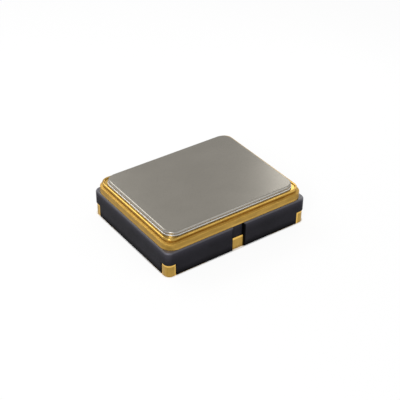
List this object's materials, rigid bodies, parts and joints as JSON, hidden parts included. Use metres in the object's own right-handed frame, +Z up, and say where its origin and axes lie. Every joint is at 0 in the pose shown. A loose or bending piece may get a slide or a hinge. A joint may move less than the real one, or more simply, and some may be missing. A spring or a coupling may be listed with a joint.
{
  "type": "crystal oscillator",
  "caption": "Surface-mount crystal oscillator: black ceramic base with gold-plated pads and seal ring, closed by a metal lid over a quartz blank and its driver chip.",
  "frame": {"origin": "on the soldering plane, under the middle of the package", "axes": "+X along the long side, +Y along the short side, +Z up through the lid; terminal 1 is at the -X, -Y corner"},
  "size_m": [0.0024, 0.002, 0.0007],
  "materials": {
    "black_ceramic": "as-fired black alumina, fine matt grain",
    "gold_plated_braze": "gold plate over silver-copper braze, softly rippled",
    "gold_plated_ring": "gold plate over a punched iron-nickel-cobalt ring, bright rounded bead",
    "nickel_lid": "matt nickel plate over a stamped iron-nickel-cobalt lid",
    "gold_plated_terminal": "gold plate over printed tungsten and nickel",
    "gold_plated_lead": "gold plate over printed tungsten and nickel",
    "gold_wire": "drawn gold wire",
    "silicon": "polished silicon under clear passivation",
    "quartz": "lapped and polished quartz",
    "silver_film": "evaporated silver",
    "silver_adhesive": "silver-filled adhesive, dull"
  },
  "bodies": {
    "root": {"ceramic_base": "black_ceramic", "braze_collar": "gold_plated_braze", "seal_ring": "gold_plated_ring", "lid": "nickel_lid", "die_attach": "silver_adhesive", "ic_die": "silicon", "crystal_blank": "quartz", "electrode_top": "silver_film", "electrode_bottom": "silver_film", "adhesive_dot_1": "silver_adhesive", "adhesive_dot_2": "silver_adhesive", "crystal_lead_1": "gold_plated_lead", "crystal_lead_2": "gold_plated_lead", "terminal_1": "gold_plated_terminal", "terminal_2": "gold_plated_terminal", "terminal_3": "gold_plated_terminal", "terminal_4": "gold_plated_terminal", "terminal_5": "gold_plated_terminal", "terminal_6": "gold_plated_terminal", "lead_1": "gold_plated_lead", "lead_2": "gold_plated_lead", "lead_3": "gold_plated_lead", "lead_4": "gold_plated_lead", "lead_5": "gold_plated_lead", "lead_6": "gold_plated_lead", "bond_wire_1": "gold_wire", "bond_wire_2": "gold_wire", "bond_wire_3": "gold_wire", "bond_wire_4": "gold_wire", "bond_wire_5": "gold_wire", "bond_wire_6": "gold_wire", "bond_wire_7": "gold_wire", "bond_wire_8": "gold_wire"}
  },
  "joints": []
}
